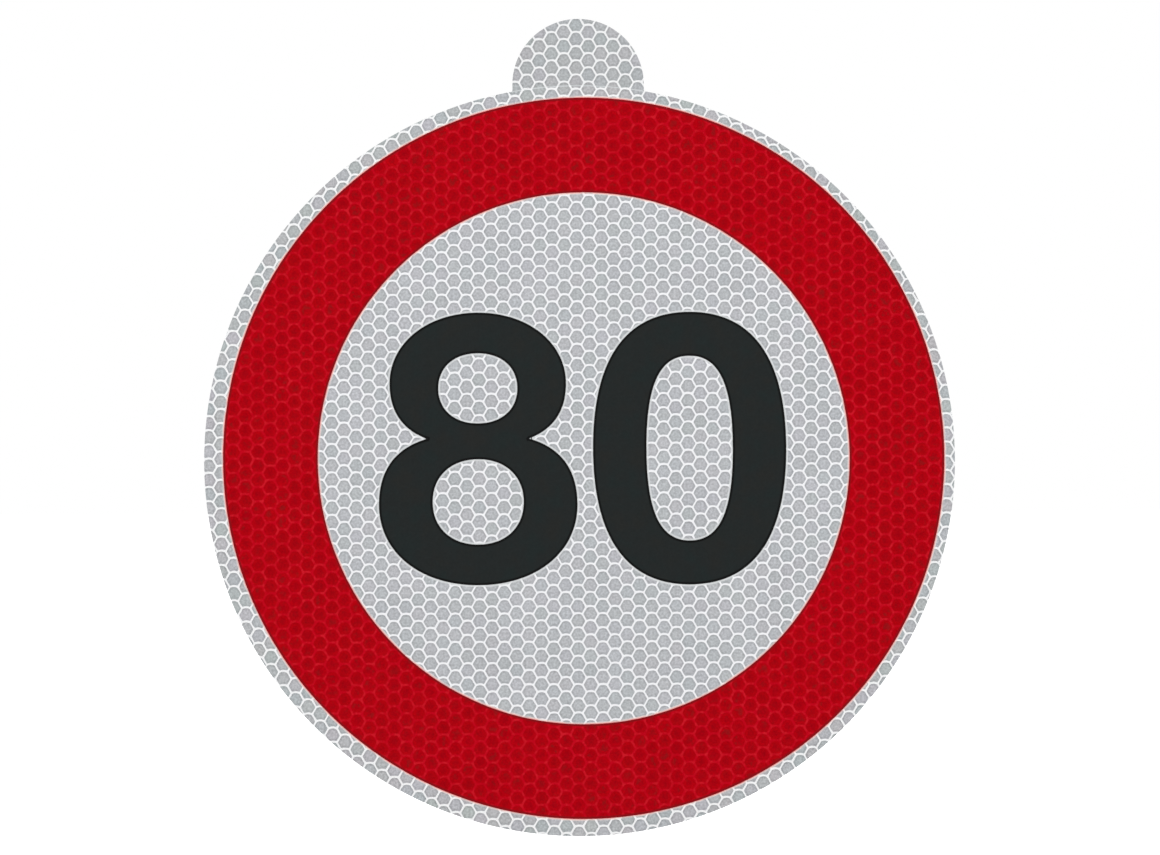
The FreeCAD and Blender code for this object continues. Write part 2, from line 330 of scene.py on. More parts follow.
def distanceTo(points, loops):
    edge = []
    for loop in loops:
        step = (np.roll(loop, -1, axis=0) - loop) / outline["edgeSteps"]
        edge += [loop + step * part for part in range(outline["edgeSteps"])]
    edge = np.concatenate(edge)
    tree = kdtree.KDTree(len(edge))
    for index, (x, z) in enumerate(edge):
        tree.insert((x, z, 0), index)
    tree.balance()
    return np.array([tree.find((x, z, 0))[2] for x, z in points])


def clearOf(points, loops, gap):
    return points[distanceTo(points, loops) > gap]


# 1 on the loops, down to 0 at the other side of their band
def edgeMark(points, loops):
    return np.clip(1 - distanceTo(points, loops) / outline["edgeBand"], 0, 1)


def alongside(loop, reach):
    ahead = np.roll(loop, -1, axis=0) - np.roll(loop, 1, axis=0)
    ahead /= np.linalg.norm(ahead, axis=1)[:, None]
    return loop + np.stack([ahead[:, 1], -ahead[:, 0]], axis=1) * reach


signLoops = [signOutline()]
borderLoops = pieceLoops([arc(*borderCentre, borderOuter, 0, 2 * math.pi),
                          arc(*borderCentre, borderInner, 0, 2 * math.pi)])
eightLoops = pieceLoops([refined(loop) for loop in nodeLoops("digit_eight")])
zeroLoops = pieceLoops([refined(loop) for loop in nodeLoops("digit_zero")])
filmLoops = borderLoops + eightLoops + zeroLoops
print("outlines drawn:", sum(len(loop) for loop in signLoops + filmLoops), "points")


# Layers

layers = {
    "mergeWithin": 1e-5,     # points closer than this become one
    "smoothTo": 18,          # degrees; the mesh looks sharp where it turns more
    "mapMargin": 0.003,      # on the map, the face is large and the side walls make one narrow column
    "faceSize": 0.93,
    "wallColumn": (0.94, 0.965),
    "rearStart": 0.972,      # the hidden rear is small
    "rearSize": 0.025,
}


# Each point and the next round each loop, numbered through all loops
def loopEdges(loops):
    edges = []
    for loop in loops:
        first = len(edges)
        edges += [(first + i, first + (i + 1) % len(loop)) for i in range(len(loop))]
    return edges


# Triangles between the loops that bound an area, through all the points. The loops' own points come first
def triangulated(loops, points, area):
    everyPoint = np.concatenate(loops + [points])
    flat = [Vector(point) for point in everyPoint]
    made = delaunay_2d_cdt(flat, loopEdges(loops), [], 0, layers["mergeWithin"])
    faces, sources = made[2:4]
    triangles = np.array([[sources[i][0] for i in face] for face in faces])
    return triangles[insidePiece(everyPoint[triangles].mean(axis=1), area)]


# A closed layer with a shaped face. The first wallCount loops carry its side walls
def makeLayer(name, loops, wallCount, points, area, faceDepth, rearDepth, marks):
    everyPoint = np.concatenate(loops + [points])
    walls = loops[:wallCount]
    wallPoints = np.concatenate(walls)
    front = triangulated(loops, points, area)
    rear = triangulated(walls, np.zeros((0, 2)), area)
    count = len(everyPoint)
    corners = np.concatenate([
        np.stack([everyPoint[:, 0], faceDepth(everyPoint), everyPoint[:, 1]], axis=1),
        np.stack([wallPoints[:, 0], rearDepth(wallPoints), wallPoints[:, 1]], axis=1)])
    faces = [tuple(face) for face in front.tolist()]
    faces += [(a, count + a, count + b, b) for a, b in loopEdges(walls)]
    faces += [tuple(count + i for i in face[::-1]) for face in rear.tolist()]
    mesh = bpy.data.meshes.new(name)
    mesh.from_pydata((corners * mm).tolist(), [], faces)
    for label, values in marks.items():
        attribute = mesh.attributes.new(label, "FLOAT", "POINT")
        attribute.data.foreach_set("value", np.concatenate(
            [values, np.zeros(len(wallPoints))]).astype(np.float32))
    mapLayer(mesh, everyPoint, walls, len(front))
    mesh.shade_smooth()
    mesh.set_sharp_from_angle(angle=math.radians(layers["smoothTo"]))
    piece = bpy.data.objects.new(name, mesh)
    scene.collection.objects.link(piece)
    return piece


def mapLayer(mesh, points, walls, frontCount):
    margin = layers["mapMargin"]
    left, right = layers["wallColumn"]
    low = points.min(axis=0)
    span = (points.max(axis=0) - low).max()
    face = margin + (points - low) / span * layers["faceSize"]
    rear = (np.concatenate(walls) - low) / span * layers["rearSize"] + (layers["rearStart"], margin)
    steps = np.concatenate([np.linalg.norm(np.roll(loop, -1, axis=0) - loop, axis=1) for loop in walls])
    reach = np.concatenate([[0], np.cumsum(steps)]) / steps.sum() * (1 - 2 * margin) + margin
    uv = []
    for polygon in mesh.polygons:
        ring = polygon.vertices
        wall = polygon.index - frontCount
        if wall < 0:
            uv += [face[i] for i in ring]
        elif wall < len(steps):
            start, end = reach[wall], reach[wall + 1]
            uv += [(left, start), (right, start), (right, end), (left, end)]
        else:
            uv += [rear[i - len(points)] for i in ring]
    layer = mesh.uv_layers.new(name="OFBake")
    layer.data.foreach_set("uv", np.array(uv, np.float32).ravel())


def settle(piece, node, material):
    piece.data.materials.append(material)
    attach(piece, "root")
    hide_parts(node)
    print(piece.name, "made:", len(piece.data.polygons), "faces")


# Shader helpers

noiseRange = (0.3, 0.7)      # nearly all values of a noise lie between these


# A colour written from 0 to 255, as the linear values that a shader takes
def linearTone(tone):
    values = [value / 255 for value in tone]
    return tuple(v / 12.92 if v < 0.04045 else ((v + 0.055) / 1.055) ** 2.4 for v in values) + (1,)


def feed(tree, socket, value):
    if isinstance(value, bpy.types.NodeSocket):
        tree.links.new(value, socket)
    else:
        socket.default_value = value


def calc(tree, operation, *values):
    node = tree.nodes.new("ShaderNodeMath")
    node.operation = operation
    for socket, value in zip(node.inputs, values):
        feed(tree, socket, value)
    return node.outputs[0]


def product(tree, first, *others):
    for value in others:
        first = calc(tree, "MULTIPLY", first, value)
    return first


# Maps a value from one range to another, smoothly
def ramp(tree, value, low, high, first=0.0, last=1.0, smooth=True):
    node = tree.nodes.new("ShaderNodeMapRange")
    node.interpolation_type = "SMOOTHSTEP" if smooth else "LINEAR"
    for socket, given in zip(node.inputs, (value, low, high, first, last)):
        feed(tree, socket, given)
    return node.outputs[0]


# The first value where the share is 0, the last where it is 1
def between(tree, share, first, last):
    return ramp(tree, share, 0.0, 1.0, first, last, smooth=False)


# Spreads a noise from one value to another
def varied(tree, value, first, last):
    return ramp(tree, value, *noiseRange, first, last, smooth=False)


def around(tree, value, middle, spread):
    return varied(tree, value, middle - spread, middle + spread)


# Sockets 0, 6, 7 and 2 are the share, the two colours and the result
def mixColour(tree, share, first, second, blend="MIX"):
    node = tree.nodes.new("ShaderNodeMix")
    node.data_type = "RGBA"
    node.blend_type = blend
    feed(tree, node.inputs[0], share)
    feed(tree, node.inputs[6], first)
    feed(tree, node.inputs[7], second)
    return node.outputs[2]


def toned(tree, share, colour, tone):
    return mixColour(tree, share, colour, linearTone(tone))


def vectorMaths(tree, operation, vector):
    node = tree.nodes.new("ShaderNodeVectorMath")
    node.operation = operation
    feed(tree, node.inputs[0], vector)
    return node


# Multiplies a colour by a grey value
def shade(tree, colour, value):
    node = vectorMaths(tree, "SCALE", colour)
    feed(tree, node.inputs["Scale"], value)
    return node.outputs[0]


def lengthOf(tree, vector):
    return vectorMaths(tree, "LENGTH", vector).outputs["Value"]


def stretched(tree, vector, scale, turn=(0, 0, 0)):
    node = tree.nodes.new("ShaderNodeMapping")
    feed(tree, node.inputs["Vector"], vector)
    node.inputs["Scale"].default_value = scale
    node.inputs["Rotation"].default_value = turn
    return node.outputs[0]


def noise(tree, vector, scale, detail=2.0, roughness=0.5):
    node = tree.nodes.new("ShaderNodeTexNoise")
    feed(tree, node.inputs["Vector"], vector)
    feed(tree, node.inputs["Scale"], scale)
    node.inputs["Detail"].default_value = detail
    node.inputs["Roughness"].default_value = roughness
    return node.outputs["Fac"]


def joined(tree, x, y, z):
    node = tree.nodes.new("ShaderNodeCombineXYZ")
    for socket, value in zip(node.inputs, (x, y, z)):
        feed(tree, socket, value)
    return node.outputs[0]


def separated(tree, vector):
    node = tree.nodes.new("ShaderNodeSeparateXYZ")
    feed(tree, node.inputs[0], vector)
    return node.outputs


def mark(tree, name):
    node = tree.nodes.new("ShaderNodeAttribute")
    node.attribute_name = name
    return node.outputs["Fac"]


# 1 on the side walls and 0 on the front and the back
def sideShare(tree, normal, steep, level):
    facing = separated(tree, tree.nodes.new("ShaderNodeNewGeometry").outputs[normal])
    return ramp(tree, calc(tree, "ABSOLUTE", facing["Y"]), steep, level, 1.0, 0.0)


def newGroup(name, inputs, outputs):
    tree = bpy.data.node_groups.new(name, "ShaderNodeTree")
    for label, kind, value in inputs:
        socket = tree.interface.new_socket(name=label, in_out="INPUT", socket_type="NodeSocket" + kind)
        if value is not None:
            socket.default_value = value
    for label, kind in outputs:
        tree.interface.new_socket(name=label, in_out="OUTPUT", socket_type="NodeSocket" + kind)
    return tree, tree.nodes.new("NodeGroupInput").outputs, tree.nodes.new("NodeGroupOutput").inputs


def placeGroup(tree, group, values):
    node = tree.nodes.new("ShaderNodeGroup")
    node.node_tree = group
    for label, value in values.items():
        feed(tree, node.inputs[label], value)
    return node.outputs


nodeSpacing = (220, 190)     # across and down, in a tree


# Columns of nodes, so that the trees can be read
def arrange(tree):
    column = {}

    def depth(node):
        if node.name not in column:
            column[node.name] = 0
            readers = [link.to_node for socket in node.outputs for link in socket.links]
            column[node.name] = 1 + max([depth(reader) for reader in readers], default=-1)
        return column[node.name]

    filled = {}
    for node in tree.nodes:
        place = depth(node)
        node.location = (-nodeSpacing[0] * place, -nodeSpacing[1] * filled.get(place, 0))
        filled[place] = filled.get(place, 0) + 1


def newMaterial(name):
    material = bpy.data.materials.new(name)
    material.use_nodes = True
    tree = material.node_tree
    point = tree.nodes.new("ShaderNodeTexCoord").outputs["Object"]
    return material, tree, tree.nodes["Principled BSDF"], point


def finishMaterial(tree, shader, colour, roughness, height, values):
    feed(tree, shader.inputs["Base Color"], colour)
    feed(tree, shader.inputs["Roughness"], roughness)
    shader.inputs["Specular IOR Level"].default_value = values["specular"]
    node = tree.nodes.new("ShaderNodeBump")
    node.inputs["Strength"].default_value = values["bumpStrength"]
    node.inputs["Distance"].default_value = values["bumpHeight"] * mm
    feed(tree, node.inputs["Height"], height)
    feed(tree, shader.inputs["Normal"], node.outputs[0])
    arrange(tree)


# Honeycomb as seen through a layer: its walls, the rim inside them (where the white sheeting gets painted
# shade), and each cell's own values
def makeHoneycombGroup():
    tree, given, gives = newGroup("honeycomb", [
        ("Point", "Vector", None),
        ("Pitch", "Float", honeycomb["pitch"]),
        ("Stretch", "Float", honeycomb["stretch"]),
        ("Origin X", "Float", honeycomb["originX"]),
        ("Origin Z", "Float", honeycomb["originZ"]),
        ("Bow", "Float", honeycomb["bow"]),
        ("Corner", "Float", float(honeycomb["corner"])),
        ("Wall Width", "Float", honeycomb["wallWidth"]),
        ("Level Extra", "Float", honeycomb["levelExtra"]),
        ("Softness", "Float", honeycomb["softness"]),
        ("Rim Width", "Float", honeycomb["rimWidth"]),
    ], [
        ("Wall", "Float"), ("Rim", "Float"), ("Inward", "Float"),
        ("Cell Value", "Float"), ("Cell Colour", "Color"), ("Drift", "Float"),
    ])

    def folded(value, reach):
        return calc(tree, "WRAP", value, reach, product(tree, reach, -1.0))

    def sides(localX, localZ):
        return product(tree, calc(tree, "ABSOLUTE", localX), sine60), calc(tree, "ABSOLUTE", localZ)

    place = separated(tree, given["Point"])
    half = product(tree, given["Pitch"], 0.5)
    column = product(tree, given["Pitch"], sine60)
    x = calc(tree, "SUBTRACT", calc(tree, "DIVIDE", place["X"], mm), given["Origin X"])
    x = calc(tree, "DIVIDE", x, given["Stretch"])
    z = calc(tree, "SUBTRACT", calc(tree, "DIVIDE", place["Z"], mm), given["Origin Z"])

    # The level walls' arch
    across = folded(x, product(tree, column, 0.5))
    across = calc(tree, "DIVIDE", across, calc(tree, "DIVIDE", given["Pitch"], halfSidesAcross))
    arch = calc(tree, "MAXIMUM", calc(tree, "SUBTRACT", 1.0, product(tree, across, across)), 0.0)
    z = calc(tree, "SUBTRACT", z, product(tree, arch, given["Bow"]))

    # The nearer of two cells, one from the even columns and one from the odd
    places = []
    for shiftX, shiftZ in ((0.0, 0.0), (column, half)):
        localX = folded(calc(tree, "SUBTRACT", x, shiftX), column)
        localZ = folded(calc(tree, "SUBTRACT", z, shiftZ), half)
        slant, level = sides(localX, localZ)
        size = calc(tree, "MAXIMUM", level, calc(tree, "MULTIPLY_ADD", level, 0.5, slant))
        places.append((size, localX, localZ))
    second = calc(tree, "GREATER_THAN", places[0][0], places[1][0])
    localX, localZ = [between(tree, second, places[0][i], places[1][i]) for i in (1, 2)]

    # Size of the rounded hexagon
    power = given["Corner"]
    slant, level = sides(localX, localZ)
    rest = product(tree, level, 0.5)
    total = calc(tree, "POWER", calc(tree, "MULTIPLY_ADD", given["Level Extra"], 0.5, level), power)
    for side in (calc(tree, "ADD", slant, rest),
                 calc(tree, "ABSOLUTE", calc(tree, "SUBTRACT", slant, rest))):
        total = calc(tree, "ADD", total, calc(tree, "POWER", side, power))
    size = calc(tree, "POWER", total, calc(tree, "DIVIDE", 1.0, power))
    inward = calc(tree, "SUBTRACT", half, size)

    edge = product(tree, given["Wall Width"], 0.5)
    soft = product(tree, given["Softness"], 0.5)
    wall = ramp(tree, inward, calc(tree, "SUBTRACT", edge, soft), calc(tree, "ADD", edge, soft), 1.0, 0.0)
    # Rim inside the walls, which the white sheeting darkens as painted shade
    rimStart = calc(tree, "MULTIPLY_ADD", given["Rim Width"], honeycomb["rimStart"], edge)
    rim = ramp(tree, inward, rimStart, calc(tree, "ADD", edge, given["Rim Width"]), 1.0, 0.0)

    cellX = calc(tree, "SUBTRACT", x, localX)
    cellZ = calc(tree, "SUBTRACT", z, localZ)
    lone = tree.nodes.new("ShaderNodeTexWhiteNoise")
    lone.noise_dimensions = "2D"
    feed(tree, lone.inputs["Vector"], joined(
        tree, calc(tree, "ROUND", calc(tree, "DIVIDE", cellX, column)),
        calc(tree, "ROUND", calc(tree, "DIVIDE", cellZ, half)), 0.0))
    drift = noise(tree, joined(tree, cellX, 0.0, cellZ), honeycomb["driftScale"])

    for label, value in (("Wall", wall), ("Rim", rim), ("Inward", inward), ("Drift", drift),
                         ("Cell Value", lone.outputs["Value"]), ("Cell Colour", lone.outputs["Color"])):
        feed(tree, gives[label], value)
    arrange(tree)
    return tree


# Fine grain of a film or metal: small specks, wider mottling, and the height that both give

grain = {
    "speckDetail": 3.0,
    "speckRoughness": 0.55,
    "mottleRise": 3.0,       # height of the mottling against that of the specks
}


def makeGrainGroup():
    tree, given, gives = newGroup("film grain", [
        ("Point", "Vector", None),
        ("Speck Size", "Float", 0.5),
        ("Mottle Size", "Float", 6.0),
    ], [("Speck", "Float"), ("Mottle", "Float"), ("Height", "Float")])
    specks = noise(tree, given["Point"], calc(tree, "DIVIDE", 1 / mm, given["Speck Size"]),
                   grain["speckDetail"], grain["speckRoughness"])
    mottle = noise(tree, given["Point"], calc(tree, "DIVIDE", 1 / mm, given["Mottle Size"]))
    feed(tree, gives["Speck"], specks)
    feed(tree, gives["Mottle"], mottle)
    feed(tree, gives["Height"], calc(tree, "MULTIPLY_ADD", mottle, grain["mottleRise"], specks))
    arrange(tree)
    return tree


honeycombGroup = makeHoneycombGroup()
grainGroup = makeGrainGroup()
print("node groups made")


def placeGrain(tree, point, values):
    return placeGroup(tree, grainGroup, {"Point": point, "Speck Size": values["speckSize"],
                                         "Mottle Size": values["mottleSize"]})


# Lightness that drifts over several cells, differs a little from cell to cell, and has specks
def unevenShade(tree, colour, cells, grains, values):
    drift = around(tree, cells["Drift"], 1, values["cellSpread"])
    lone = between(tree, cells["Cell Value"], 1 - values["loneSpread"], 1 + values["loneSpread"])
    specks = around(tree, grains["Speck"], 1, values["speckSpread"])
    return shade(tree, colour, product(tree, drift, lone, specks))


# White sheeting

sheeting = {
    "recess": 0.09,                  # cell floors behind the walls' tops
    "scoreWidth": 0.5,               # scored line across the tab's foot
    "scoreDepth": 0.15,
    "scoreExtra": 0.01,              # radians that its mesh points reach past the tab's sides
    "scoreGap": 0.34,                # the cells' mesh points keep this far from it
    "scoreBeside": 1.0,              # and do so up to this far beside the tab
    "cellTone": (190, 192, 196),
    # painted shade of the cells' rim beside the walls
    "rimTone": (179, 181, 185),
    "wallTone": (251, 252, 255),
    "wallWidths": (0.385, 0.55),     # the printed walls vary between these
    "wallPatches": 700.0,            # per m
    # painted highlight along the scored groove
    "scoreHighlight": (223, 227, 230),
    "edgeTone": (226, 228, 228),
    "sideRange": (0.3, 0.5),         # side walls, by how far the surface faces the front
    "cellSpread": 0.042,             # shares by which the lightness differs
    "loneSpread": 0.015,
    "speckSpread": 0.24,
    "speckSize": 0.6,
    "mottleSize": 5.0,
    "greenTint": (0.952, 1.012, 0.99, 1),
    "lilacTint": (1.028, 0.985, 1.012, 1),
    "blueTint": (0.994, 1.0, 1.022, 1),
    "yellowTint": (1.002, 1.0, 0.976, 1),
    "innerTints": 0.45,              # share of these tints inside the border
    "tabTints": 0.65,                # and on the tab
    "rimTint": (1.0, 1.0, 0.985, 1),
    "rimShade": 0.955,               # the rim's and the tab's cells are a little darker
    "tabShade": 0.965,               # so are the tab's cells and walls together
    "roughness": 0.32,
    "wallRoughness": 0.44,
    "roughSpread": 0.05,
    "specular": 0.25,
    "bumpStrength": 0.12,
    "bumpHeight": 0.04,
}

# Lines on the sheeting along the films, among them a painted shadow right against each film's edge: tone, and
# the marks at which each one starts and is full
edgeLines = {
    "besideRed": ((255, 235, 229), 0.03, 0.35),
    "nearRed": ((250, 176, 171), 0.38, 0.76),      # where the red shines into the sheeting
    # painted shadow against the red film's edge, tinted red
    "shadowAtRed": ((200, 20, 28), 0.88, 0.95),
    "besideBlack": ((228, 231, 232), 0.03, 0.35),
    # painted shadow against the numerals' edge
    "shadowAtBlack": ((40, 43, 43), 0.85, 0.92),
    "besideBlackShare": 0.8,
    "outsideGain": 1.08,             # the lines are a little wider outside the border
    "patches": 330.0,                # per m, where the lines beside the red are weaker
    "patchRange": (0.38, 0.6),
    "patchShares": (0.45, 0.97),
    "cellShare": 0.72,               # of the line beside the red over the cells
}


def scoreShare(points):
    radius = np.hypot(points[:, 0], points[:, 1])
    share = np.clip(1 - np.abs(radius - discRadius) / (sheeting["scoreWidth"] / 2), 0, 1)
    return share * ((points[:, 1] > 0)
                    & (np.abs(points[:, 0]) < outline["tabRadius"] + outline["footRadius"]))


def sheetingDepth(points):
    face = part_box("reflective_sheeting")[0].y / mm
    return face + cellRecess(points, sheeting["recess"]) + sheeting["scoreDepth"] * scoreShare(points)


# Pale lines beside the films, and painted shadow right against their edges
def drawEdgeLines(tree, colour, point, outside, wall):
    red = product(tree, mark(tree, "besideRed"), between(tree, outside, 1.0, edgeLines["outsideGain"]))
    black = mark(tree, "besideBlack")
    uneven = ramp(tree, noise(tree, point, edgeLines["patches"], detail=1.0), *edgeLines["patchRange"],
                  *edgeLines["patchShares"])
    pale = product(tree, uneven, between(tree, wall, edgeLines["cellShare"], 1.0))
    for name, edge, strength in (("besideRed", red, pale), ("nearRed", red, uneven),
                                 ("shadowAtRed", red, 1.0),
                                 ("besideBlack", black, edgeLines["besideBlackShare"]),
                                 ("shadowAtBlack", black, 1.0)):
        tone, start, full = edgeLines[name]
        colour = toned(tree, product(tree, ramp(tree, edge, start, full), strength), colour, tone)
    return colour


def makeSheetingMaterial():
    material, tree, shader, point = newMaterial("white honeycomb sheeting")
    widths = varied(tree, noise(tree, point, sheeting["wallPatches"], detail=1.0), *sheeting["wallWidths"])
    cells = placeGroup(tree, honeycombGroup, {"Point": point, "Wall Width": widths})
    grains = placeGrain(tree, point, sheeting)
    # Cells, with painted shade in a rim along their walls
    colour = toned(tree, cells["Rim"], linearTone(sheeting["cellTone"]), sheeting["rimTone"])

    place = separated(tree, point)
    fromX = calc(tree, "SUBTRACT", place["X"], borderCentre[0] * mm)
    fromZ = calc(tree, "SUBTRACT", place["Z"], borderCentre[1] * mm)
    radius = lengthOf(tree, joined(tree, fromX, 0.0, fromZ))
    outside = calc(tree, "GREATER_THAN", radius, (borderInner + borderOuter) / 2 * mm)
    onTab = calc(tree, "GREATER_THAN", place["Z"], discRadius * mm)
    tintShare = product(tree, between(tree, outside, sheeting["innerTints"], 1.0),
                        between(tree, onTab, 1.0, sheeting["tabTints"]))
    hue = tree.nodes.new("ShaderNodeSeparateColor")
    feed(tree, hue.inputs[0], cells["Cell Colour"])
    for channel, first, second in (("Red", "greenTint", "lilacTint"), ("Green", "blueTint", "yellowTint")):
        tint = mixColour(tree, hue.outputs[channel], sheeting[first], sheeting[second])
        colour = mixColour(tree, tintShare, colour, tint, "MULTIPLY")
    colour = unevenShade(tree, colour, cells, grains, sheeting)
    colour = shade(tree, colour, between(tree, outside, 1.0, sheeting["rimShade"]))

    # Painted highlight along the score
    colour = toned(tree, mark(tree, "scored"), colour, sheeting["scoreHighlight"])
    colour = toned(tree, cells["Wall"], colour, sheeting["wallTone"])
    colour = mixColour(tree, outside, colour, sheeting["rimTint"], "MULTIPLY")
    colour = shade(tree, colour, between(tree, onTab, 1.0, sheeting["tabShade"]))
    colour = drawEdgeLines(tree, colour, point, outside, cells["Wall"])
    cut = sideShare(tree, "True Normal", *sheeting["sideRange"])
    colour = toned(tree, cut, colour, sheeting["edgeTone"])

    roughness = between(tree, cells["Wall"], sheeting["roughness"], sheeting["wallRoughness"])
    roughness = calc(tree, "ADD", roughness, around(tree, grains["Mottle"], 0, sheeting["roughSpread"]))
    finishMaterial(tree, shader, colour, roughness, grains["Height"], sheeting)
    return material


def makeSheeting():
    loops = signLoops + filmLoops
    points = cellPoints((-discRadius, -discRadius), (discRadius, plateHigh.z))
    for film in (borderLoops, eightLoops, zeroLoops):
        points = points[~insidePiece(points, film)]
    points = points[insideLoop(points, signLoops[0])]
    halfAngle = math.asin(outline["tabRadius"] / discRadius) + sheeting["scoreExtra"]
    scored = np.concatenate([arc(0, 0, discRadius + reach * sheeting["scoreWidth"],
                                 math.pi / 2 - halfAngle, math.pi / 2 + halfAngle)
                             for reach in (-0.5, 0, 0.5)])
    scored = scored[insideLoop(scored, signLoops[0])]
    apart = np.abs(np.hypot(points[:, 0], points[:, 1]) - discRadius) > sheeting["scoreGap"]
    beside = np.abs(points[:, 0]) > outline["tabRadius"] + sheeting["scoreBeside"]
    points = points[apart | (points[:, 1] < 0) | beside]
    bands = np.concatenate([alongside(loop, outline["edgeBand"]) for loop in filmLoops])
    points = clearOf(points, [bands], outline["bandGap"])
    points = clearOf(np.concatenate([scored, bands, points]), loops, outline["edgeGap"])
    everyPoint = np.concatenate(loops + [points])
    marks = {"scored": scoreShare(everyPoint), "besideRed": edgeMark(everyPoint, borderLoops),
             "besideBlack": edgeMark(everyPoint, eightLoops + zeroLoops)}
    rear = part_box("reflective_sheeting")[1].y / mm
    piece = makeLayer("honeycomb_sheeting", loops, 1, points, signLoops, sheetingDepth,
                      lambda where: np.full(len(where), rear), marks)
    settle(piece, "reflective_sheeting", makeSheetingMaterial())


makeSheeting()


# Films on the sheeting. Each reaches down to the sheeting along its edges, also where a cell's floor is lower

def makeFilm(name, node, loops, recess, material):
    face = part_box(node)[0].y / mm
    bands = np.concatenate([alongside(loop, -outline["edgeBand"]) for loop in loops])
    bands = bands[insidePiece(bands, loops)]
    points = cellPoints(loops[0].min(axis=0), loops[0].max(axis=0))
    points = clearOf(points[insidePiece(points, loops)], [bands], outline["bandGap"])
    points = clearOf(np.concatenate([bands, points]), loops, outline["edgeGap"])
    marks = {"filmEdge": edgeMark(np.concatenate(loops + [points]), loops)}
    piece = makeLayer(name, loops, len(loops), points, loops,
                      lambda where: face + cellRecess(where, recess), sheetingDepth, marks)
    settle(piece, node, material)


# Red border

border = {
    "recess": 0.035,
    "cellTone": (169, 0, 15),
    "rimTone": (178, 0, 14),
    "wallTone": (197, 5, 28),
    "brightTone": (210, 27, 41),     # parts of the walls
    "brightPatches": 900.0,          # per m
    "brightRange": (0.42, 0.72),
    "faintRange": (0.3, 0.65),       # mottling that makes the walls fainter
    "faintShare": 0.7,
    "spotTone": (140, 22, 24),       # brownish spots inside the cells
    "spotPatches": 800.0,
    "spotRange": (0.49, 0.68),
    "spotInward": (0.4, 0.9),        # from the middle of the wall
    "spotCells": (0.2, 1.0),         # some cells have more of them
    "spotShares": (0.1, 0.65),
    "edgeTone": (139, 18, 25),
    "edgeRange": (0.05, 0.5),
    "bowShare": 0.8,                 # the honeycomb looks softer through the film
    "corner": 12.0,
    "wallWidth": 0.53,
    "levelExtra": 0.03,
    "softness": 0.34,
    "rimWidth": 1.1,
    "cellSpread": 0.05,
    "loneSpread": 0.03,
    "tintSpread": 0.0008,
    "speckSpread": 0.13,
    "speckSize": 0.6,
    "mottleSize": 9.0,
    "roughness": 0.34,
    "roughSpread": 0.05,
    "specular": 0.02,
    "bumpStrength": 0.1,
    "bumpHeight": 0.04,
}


def makeBorderMaterial():
    material, tree, shader, point = newMaterial("red film")
    cells = placeGroup(tree, honeycombGroup, {
        "Point": point, "Bow": honeycomb["bow"] * border["bowShare"], "Corner": border["corner"],
        "Wall Width": border["wallWidth"], "Level Extra": border["levelExtra"],
        "Softness": border["softness"], "Rim Width": border["rimWidth"]})
    grains = placeGrain(tree, point, border)
    colour = toned(tree, cells["Rim"], linearTone(border["cellTone"]), border["rimTone"])
    spots = product(tree, ramp(tree, cells["Inward"], *border["spotInward"]),
                    ramp(tree, noise(tree, point, border["spotPatches"], detail=1.0), *border["spotRange"]),
                    ramp(tree, cells["Cell Value"], *border["spotCells"], *border["spotShares"]))
    colour = toned(tree, spots, colour, border["spotTone"])
    colour = mixColour(tree, border["tintSpread"], colour, cells["Cell Colour"], "ADD")
    colour = unevenShade(tree, colour, cells, grains, border)

    faint = ramp(tree, grains["Mottle"], *border["faintRange"], border["faintShare"], 1.0)
    bright = ramp(tree, noise(tree, point, border["brightPatches"], detail=1.0), *border["brightRange"])
    wallColour = toned(tree, bright, linearTone(border["wallTone"]), border["brightTone"])
    colour = mixColour(tree, product(tree, cells["Wall"], faint), colour, wallColour)
    edge = ramp(tree, mark(tree, "filmEdge"), *border["edgeRange"])
    colour = toned(tree, edge, colour, border["edgeTone"])
    roughness = around(tree, grains["Mottle"], border["roughness"], border["roughSpread"])
    finishMaterial(tree, shader, colour, roughness, grains["Height"], border)
    return material


makeFilm("red_border_film", "red_border", borderLoops, border["recess"], makeBorderMaterial())


# Numerals

numerals = {
    "recess": 0.012,                 # the cells below barely show
    "tone": (33, 37, 37),
    "patchTone": (35, 37, 36),
    "patchRange": (0.5, 0.72),       # where the mottling is high
    "coolTone": (31, 38, 38),
    "coolRange": (0.5, 0.3),         # and where it is low
    "edgeTone": (10, 11, 11),
    "edgeRange": (0.05, 0.4),
    "wallGain": 1.04,                # the walls below are a little lighter
    "softness": 0.6,
    "speckSpread": 0.08,
    "speckSize": 0.7,
    "mottleSize": 5.0,
    "roughness": 0.42,
    "roughSpread": 0.04,
    "specular": 0.06,
    "bumpStrength": 0.1,
    "bumpHeight": 0.04,
}


def makeNumeralMaterial():
    material, tree, shader, point = newMaterial("black film")
    cells = placeGroup(tree, honeycombGroup, {"Point": point, "Softness": numerals["softness"]})
    grains = placeGrain(tree, point, numerals)
    patches = ramp(tree, grains["Mottle"], *numerals["patchRange"])
    colour = toned(tree, patches, linearTone(numerals["tone"]), numerals["patchTone"])
    cool = ramp(tree, grains["Mottle"], *numerals["coolRange"])
    colour = toned(tree, cool, colour, numerals["coolTone"])
    colour = shade(tree, colour, product(tree, around(tree, grains["Speck"], 1, numerals["speckSpread"]),
                                         between(tree, cells["Wall"], 1.0, numerals["wallGain"])))
    edge = ramp(tree, mark(tree, "filmEdge"), *numerals["edgeRange"])
    colour = toned(tree, edge, colour, numerals["edgeTone"])
    roughness = around(tree, grains["Speck"], numerals["roughness"], numerals["roughSpread"])
    finishMaterial(tree, shader, colour, roughness, grains["Height"], numerals)
    return material


numeralMaterial = makeNumeralMaterial()
makeFilm("numeral_eight", "digit_eight", eightLoops, numerals["recess"], numeralMaterial)
makeFilm("numeral_zero", "digit_zero", zeroLoops, numerals["recess"], numeralMaterial)


# Aluminium plate behind the sheeting: rolled face, sheared edges

